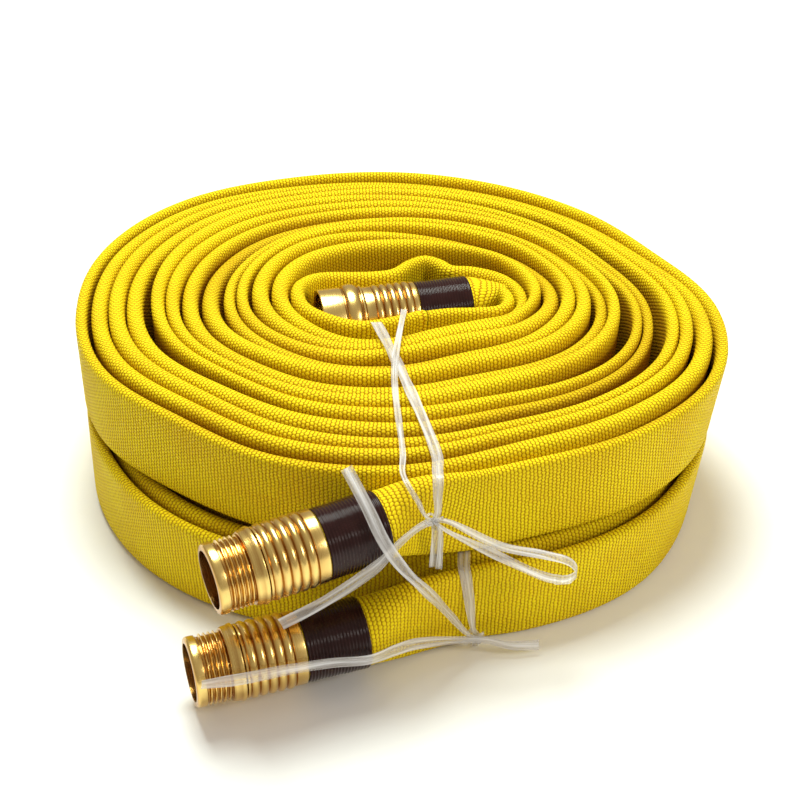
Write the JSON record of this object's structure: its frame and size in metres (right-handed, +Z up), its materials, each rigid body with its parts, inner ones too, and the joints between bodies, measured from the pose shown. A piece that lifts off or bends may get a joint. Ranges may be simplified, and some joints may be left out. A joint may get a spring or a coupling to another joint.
{
  "type": "rolled fire hose",
  "caption": "Flat-wound woven fire hose rolls, stacked and tied together, with ribbed brass screw couplings, dark shrink sleeves and a swivel nut in each hub.",
  "frame": {"origin": "Bottom centre of the box of the two hoses, on the floor under the lower roll; the tie ribbons are left out of that box.", "axes": "+Z up along the rolls' winding axis; the loose ends with the male couplings lie on the -Y side and point to -X; +Y is the box's long side."},
  "size_m": [0.3478, 0.4002, 0.1122],
  "materials": {
    "woven_jacket": "coarse plain-woven yellow jacket, matt",
    "rubber": "smooth black rubber",
    "shrink_sleeve": "dark brown, finely ribbed, semi-gloss",
    "brass": "polished, turned and rolled",
    "tie_ribbon": "clear, creased film ribbon"
  },
  "bodies": {
    "hoses": {"lower_hose_roll": "woven_jacket", "lower_tailpiece": "brass", "lower_female_ferrule": "brass", "lower_female_sleeve": "shrink_sleeve", "lower_hub_jacket": "woven_jacket", "lower_hub_lining": "rubber", "lower_male_body": "brass", "lower_male_ferrule": "brass", "lower_male_sleeve": "shrink_sleeve", "lower_tail_jacket": "woven_jacket", "lower_tail_lining": "rubber", "lower_tie_knot": "tie_ribbon", "upper_hose_roll": "woven_jacket", "upper_tailpiece": "brass", "upper_female_ferrule": "brass", "upper_female_sleeve": "shrink_sleeve", "upper_hub_jacket": "woven_jacket", "upper_hub_lining": "rubber", "upper_male_body": "brass", "upper_male_ferrule": "brass", "upper_male_sleeve": "shrink_sleeve", "upper_tail_jacket": "woven_jacket", "upper_tail_lining": "rubber", "upper_tie_knot": "tie_ribbon", "upper_tie_wrap_wide": "tie_ribbon", "upper_tie_wrap_narrow": "tie_ribbon", "lower_tie_wrap": "tie_ribbon", "upper_tie_bow": "tie_ribbon", "upper_tie_tail": "tie_ribbon", "lower_tie_tail_right": "tie_ribbon", "lower_tie_tail_left": "tie_ribbon", "lower_tie_tail_up": "tie_ribbon"},
    "lower_nut": {"lower_swivel_nut": "brass", "lower_gasket": "rubber"},
    "upper_nut": {"upper_swivel_nut": "brass", "upper_gasket": "rubber"}
  },
  "joints": [
    {"name": "lower_nut_spin", "type": "hinge", "parent": "hoses", "child": "lower_nut", "pos_m": [-0.04148, 0.03627, 0.025], "axis": [0.9718, 0.2359, 0], "continuous": true},
    {"name": "upper_nut_spin", "type": "hinge", "parent": "hoses", "child": "upper_nut", "pos_m": [-0.04148, 0.03627, 0.0803], "axis": [0.9718, 0.2359, 0], "continuous": true}
  ]
}
